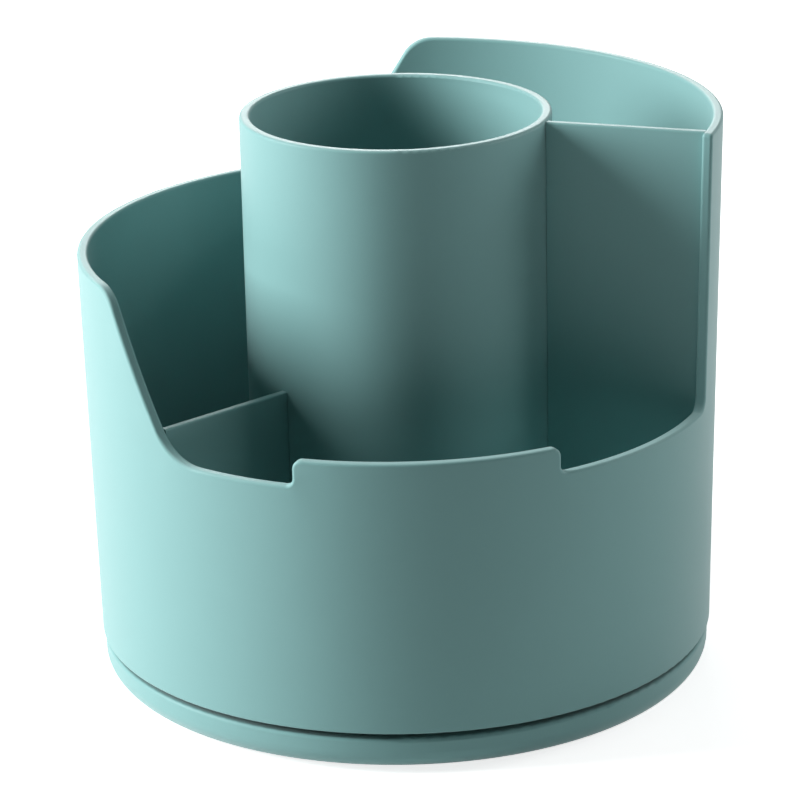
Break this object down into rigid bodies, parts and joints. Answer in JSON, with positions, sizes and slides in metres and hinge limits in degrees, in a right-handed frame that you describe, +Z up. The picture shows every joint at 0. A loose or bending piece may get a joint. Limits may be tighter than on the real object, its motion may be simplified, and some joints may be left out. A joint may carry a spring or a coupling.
{
  "type": "rotating desk organizer",
  "caption": "Round desk organizer that turns on a low base, with a stepped rim, a tall pen cup in the middle and compartments between upright panels around it.",
  "frame": {"origin": "on the turning axis, at the surface that the rubber feet stand on", "axes": "+Z up along the turning axis; -Y is the front, where the rim is low; +X is the side where the high part of the rim ends"},
  "size_m": [0.1538, 0.1532, 0.1376],
  "materials": {
    "drum_plastic": "sage teal, fine matt texture",
    "base_plastic": "sage teal, fine matt texture",
    "white_nylon": "natural nylon",
    "foot_rubber": "matt black",
    "race_steel": "zinc plated",
    "screw_steel": "zinc plated",
    "ball_steel": "polished"
  },
  "bodies": {
    "base": {"base_pan": "base_plastic", "lower_race": "race_steel", "lower_race_screws": "screw_steel", "spindle_bushing": "white_nylon", "hub_cover": "base_plastic", "rubber_foot_1": "foot_rubber", "rubber_foot_2": "foot_rubber", "rubber_foot_3": "foot_rubber", "rubber_foot_4": "foot_rubber"},
    "ball_ring": {"ball_cage": "white_nylon", "bearing_balls": "ball_steel"},
    "carousel": {"drum_shell": "drum_plastic", "centre_cup": "drum_plastic", "tall_divider": "drum_plastic", "rear_divider": "drum_plastic", "low_divider": "drum_plastic", "upper_race": "race_steel", "upper_race_screws": "screw_steel", "spindle_bolt": "screw_steel", "spindle_head_washer": "race_steel", "spindle_cap": "drum_plastic", "thrust_washer": "race_steel", "lock_nut": "screw_steel"}
  },
  "joints": [
    {"name": "carousel_spin", "type": "hinge", "parent": "base", "child": "carousel", "pos_m": [0, 0, 0.011], "axis": [0, 0, 1], "continuous": true},
    {"name": "ball_ring_spin", "type": "hinge", "parent": "base", "child": "ball_ring", "pos_m": [0, 0, 0.0075], "axis": [0, 0, 1], "continuous": true}
  ],
  "couplings": [
    {"joint": "ball_ring_spin", "follows": "carousel_spin", "ratio": 0.5}
  ]
}
